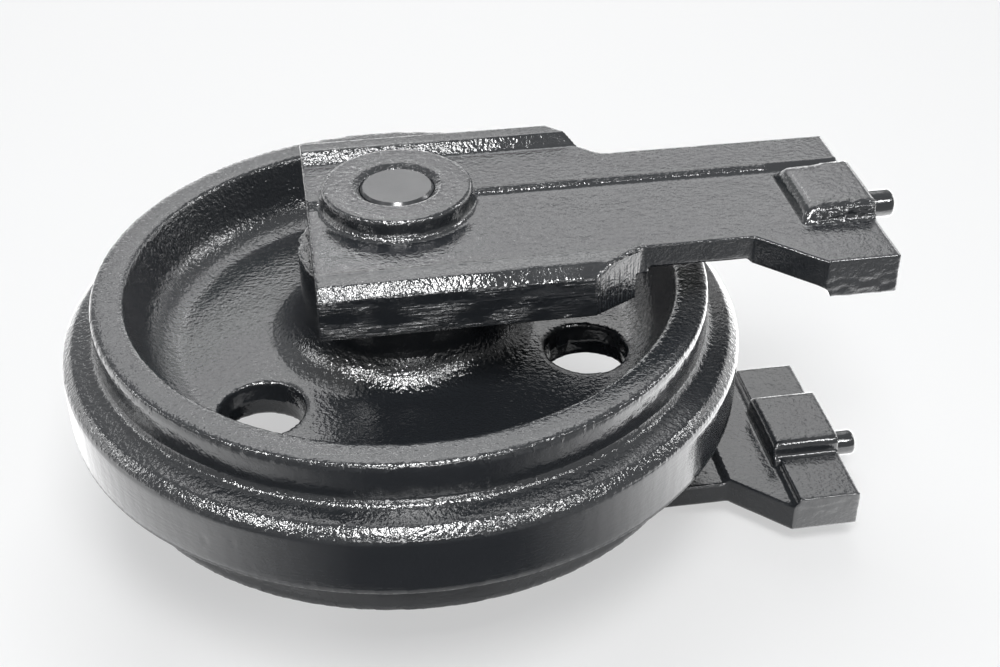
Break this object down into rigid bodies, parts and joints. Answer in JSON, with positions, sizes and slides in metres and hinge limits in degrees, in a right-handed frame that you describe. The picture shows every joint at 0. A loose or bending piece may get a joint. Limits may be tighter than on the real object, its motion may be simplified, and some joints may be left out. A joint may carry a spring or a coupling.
{
  "type": "excavator front idler",
  "caption": "Flanged, dished track idler wheel on a sealed dead shaft, held between cast slide supports whose arms butt against the track adjuster's yoke.",
  "frame": {"origin": "centre of the wheel, on the shaft's axis at mid width", "axes": "+Z along the shaft, up as the idler lies flat; +X along the arms, towards the yoke pins"},
  "size_m": [0.4829, 0.4, 0.217],
  "materials": {
    "wheel_enamel": "gloss black enamel over cast steel",
    "support_enamel": "gloss black enamel over cast steel",
    "shaft_steel": "ground, painted at its ends",
    "bush_bronze": "bored bronze",
    "seal_iron": "lapped face",
    "seal_rubber": "matte",
    "pin_steel": "ground",
    "yoke_pin_enamel": "gloss black enamel over turned steel",
    "plug_steel": "zinc plated",
    "washer_copper": "soft copper"
  },
  "bodies": {
    "frame": {"shaft": "shaft_steel", "upper_support": "support_enamel", "lower_support": "support_enamel", "upper_fixed_seal_ring": "seal_iron", "lower_fixed_seal_ring": "seal_iron", "upper_fixed_toric": "seal_rubber", "lower_fixed_toric": "seal_rubber", "upper_lock_pin": "pin_steel", "lower_lock_pin": "pin_steel", "upper_shaft_ring": "seal_rubber", "lower_shaft_ring": "seal_rubber", "upper_yoke_pin": "yoke_pin_enamel", "lower_yoke_pin": "yoke_pin_enamel", "oil_plug": "plug_steel", "plug_washer": "washer_copper"},
    "wheel": {"idler_wheel": "wheel_enamel", "upper_bush": "bush_bronze", "lower_bush": "bush_bronze", "upper_turning_seal_ring": "seal_iron", "lower_turning_seal_ring": "seal_iron", "upper_turning_toric": "seal_rubber", "lower_turning_toric": "seal_rubber"}
  },
  "joints": [
    {"name": "wheel_spin", "type": "hinge", "parent": "frame", "child": "wheel", "pos_m": [0, 0, 0], "axis": [0, 0, 1], "continuous": true}
  ]
}
